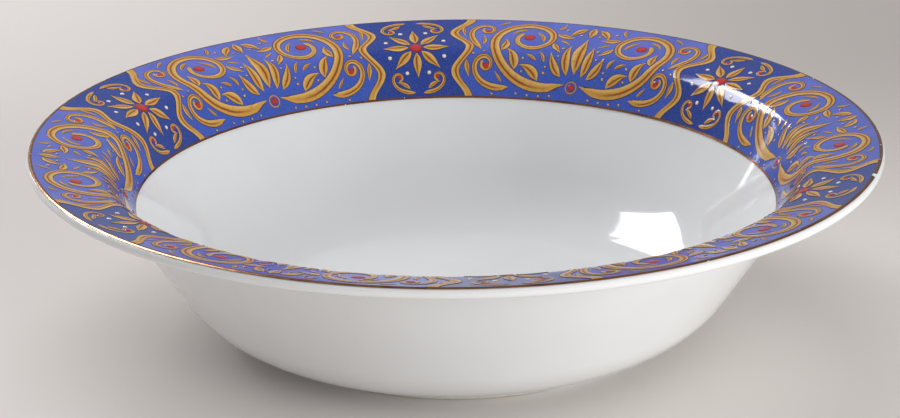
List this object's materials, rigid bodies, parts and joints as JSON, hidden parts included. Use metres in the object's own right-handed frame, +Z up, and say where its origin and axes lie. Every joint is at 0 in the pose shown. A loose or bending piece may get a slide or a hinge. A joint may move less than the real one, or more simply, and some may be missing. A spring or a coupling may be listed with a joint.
{
  "type": "vegetable bowl",
  "caption": "Round open serving bowl of glazed porcelain with a wide sloping rim, an enamelled blue and gold band, gilt edge lines and a low foot ring.",
  "frame": {"origin": "centre of the foot ring on the plane that the bowl stands on", "axes": "+Z up along the axis of revolution, +X to the right and +Y away from the picture's viewer"},
  "size_m": [0.25, 0.25, 0.0615],
  "materials": {
    "porcelain": "bare fired body, shown only on the wiped foot ring",
    "glaze": "clear gloss over white",
    "ground_blue": "gloss periwinkle print, deeper blue down the wall",
    "panel_navy": "gloss royal blue print",
    "gold_enamel": "gloss ochre gold enamel, slightly raised",
    "red_enamel": "gloss red enamel, slightly raised",
    "gilding": "burnished gilt line, worn in places"
  },
  "bodies": {
    "root": {"porcelain_body": "porcelain", "glaze_coat": "glaze", "ground_band": "ground_blue", "inner_gilt_line": "gilding", "edge_gilt_line": "gilding", "panel_field_1": "panel_navy", "panel_field_2": "panel_navy", "panel_field_3": "panel_navy", "panel_field_4": "panel_navy", "panel_field_5": "panel_navy", "panel_field_6": "panel_navy", "panel_frame_1": "gold_enamel", "panel_frame_2": "gold_enamel", "panel_frame_3": "gold_enamel", "panel_frame_4": "gold_enamel", "panel_frame_5": "gold_enamel", "panel_frame_6": "gold_enamel", "rosette_1": "gold_enamel", "rosette_2": "gold_enamel", "rosette_3": "gold_enamel", "rosette_4": "gold_enamel", "rosette_5": "gold_enamel", "rosette_6": "gold_enamel", "jewel_1": "red_enamel", "jewel_2": "red_enamel", "jewel_3": "red_enamel", "jewel_4": "red_enamel", "jewel_5": "red_enamel", "jewel_6": "red_enamel", "scroll_field_1": "gold_enamel", "scroll_field_2": "gold_enamel", "scroll_field_3": "gold_enamel", "scroll_field_4": "gold_enamel", "scroll_field_5": "gold_enamel", "scroll_field_6": "gold_enamel", "berries_1": "red_enamel", "berries_2": "red_enamel", "berries_3": "red_enamel", "berries_4": "red_enamel", "berries_5": "red_enamel", "berries_6": "red_enamel"}
  },
  "joints": []
}
